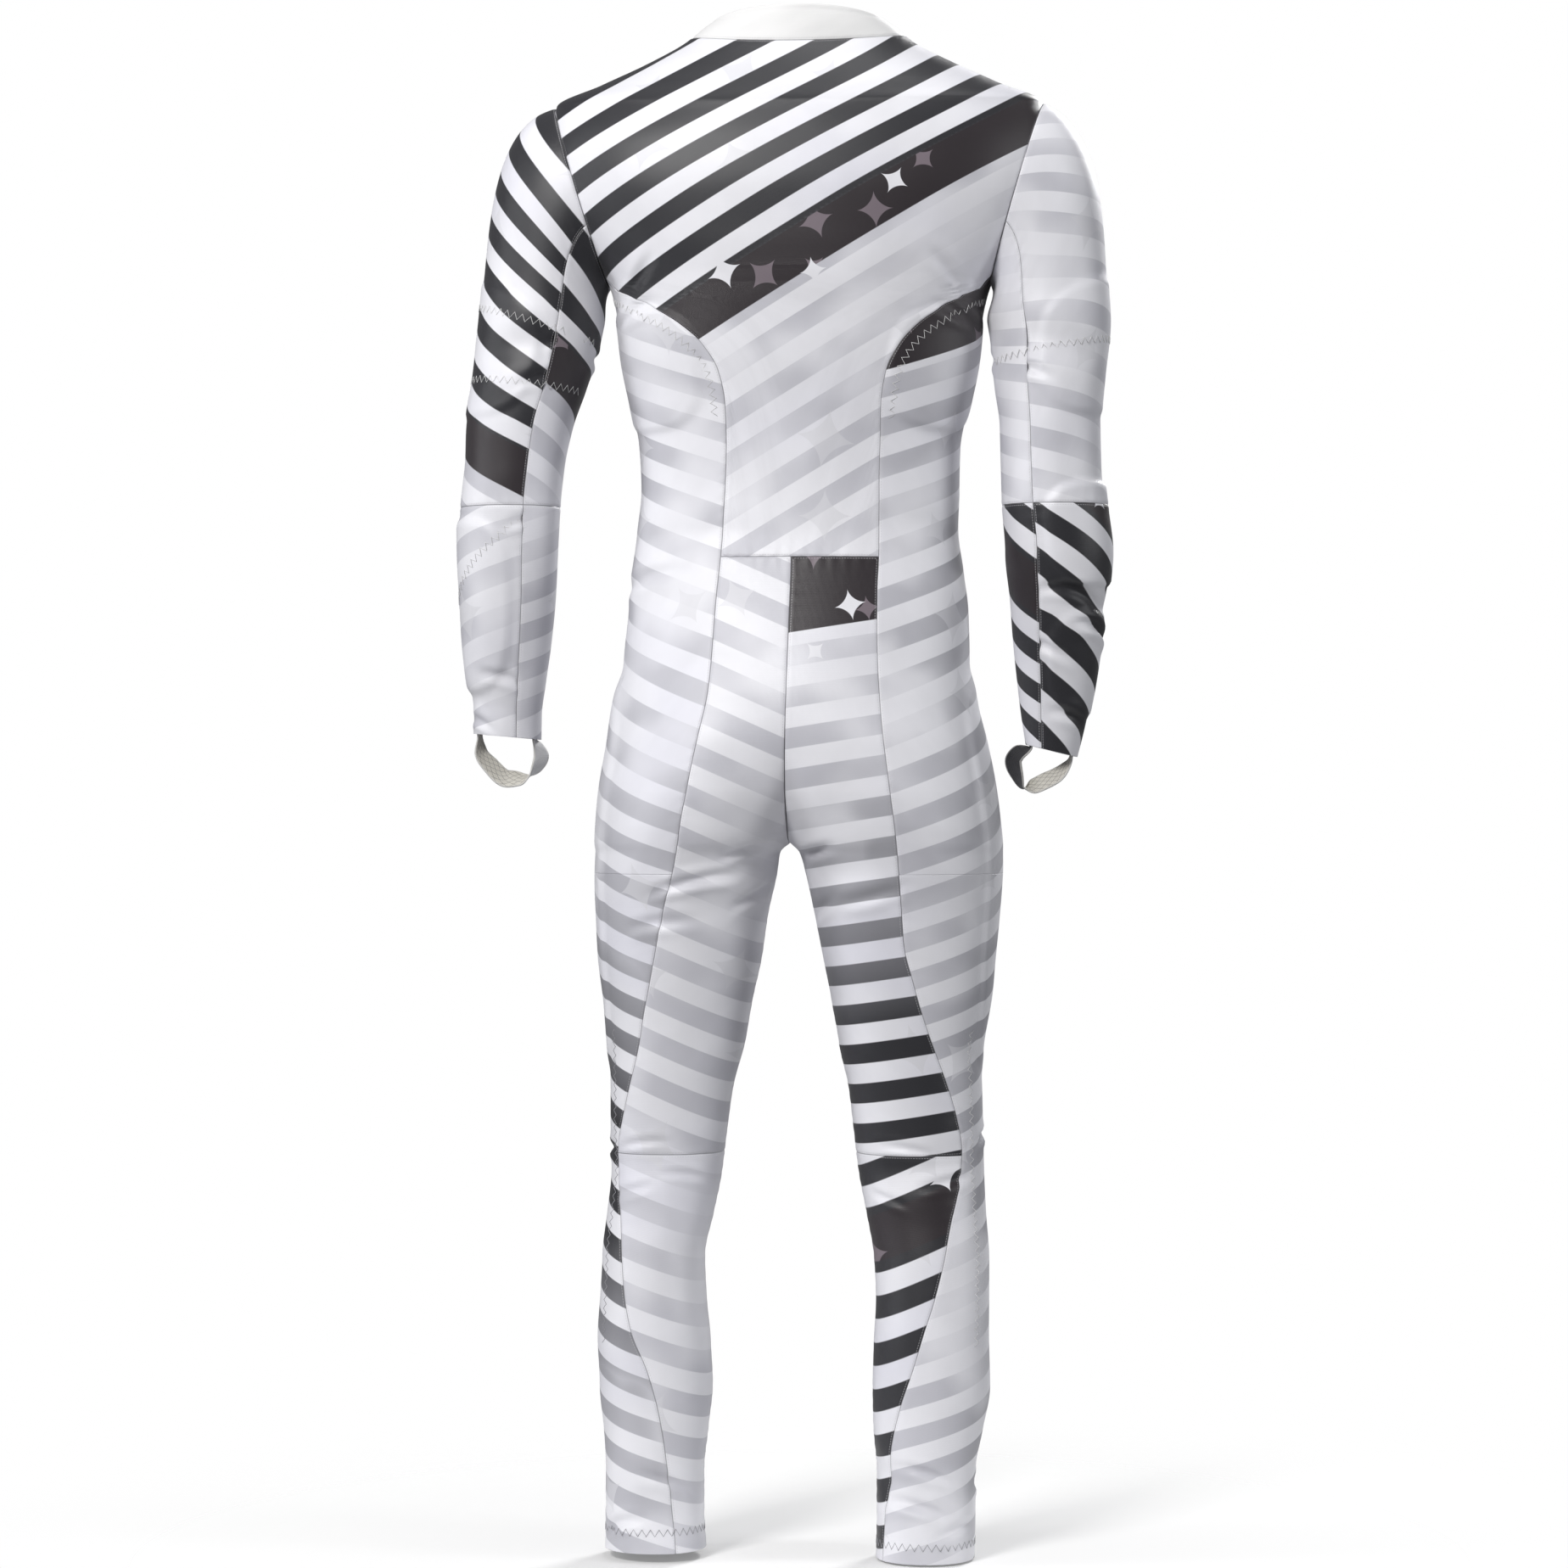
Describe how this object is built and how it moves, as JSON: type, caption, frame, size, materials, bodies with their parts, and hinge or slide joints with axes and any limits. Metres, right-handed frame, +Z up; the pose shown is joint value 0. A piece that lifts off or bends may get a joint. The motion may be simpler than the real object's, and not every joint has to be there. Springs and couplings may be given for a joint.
{
  "type": "ski race suit",
  "caption": "One-piece stretch racing suit in its worn, hollow shape, with a stand collar, long sleeves with hand loops, padded limbs and a front zip.",
  "frame": {"origin": "middle of the neck between the shoulders, where the wearer holds the suit up", "axes": "+Z up, +Y towards the wearer's front, +X towards the wearer's right"},
  "size_m": [0.6313, 0.2645, 1.4761],
  "materials": {
    "suit_cloth": "smooth stretch knit with a soft sheen",
    "collar_cloth": "smooth stretch knit",
    "loop_elastic": "elastic with a thin honeycomb grip",
    "zip_tape": "woven tape",
    "zip_metal": "dark satin"
  },
  "bodies": {
    "suit": {"bodice_back": "suit_cloth", "bodice_front_left": "suit_cloth", "bodice_front_right": "suit_cloth", "side_left": "suit_cloth", "side_right": "suit_cloth", "leg_side_left": "suit_cloth", "leg_side_right": "suit_cloth", "seat_left": "suit_cloth", "seat_right": "suit_cloth", "thigh_front_left": "suit_cloth", "thigh_front_right": "suit_cloth", "calf_left": "suit_cloth", "calf_right": "suit_cloth", "shin_left": "suit_cloth", "shin_right": "suit_cloth", "sleeve_outer_left": "suit_cloth", "sleeve_outer_right": "suit_cloth", "sleeve_under_left": "suit_cloth", "sleeve_under_right": "suit_cloth", "forearm_outer_left": "suit_cloth", "forearm_outer_right": "suit_cloth", "forearm_under_left": "suit_cloth", "forearm_under_right": "suit_cloth", "collar": "collar_cloth", "hand_loop_left": "loop_elastic", "hand_loop_right": "loop_elastic", "zip_tape": "zip_tape", "zip_slider": "zip_metal"},
    "pull_tab": {"zip_pull": "zip_metal"}
  },
  "joints": [
    {"name": "pull_swing", "type": "hinge", "parent": "suit", "child": "pull_tab", "pos_m": [0, 0.05478, -0.02816], "axis": [1, 0, 0], "range_deg": [0, 150]}
  ]
}
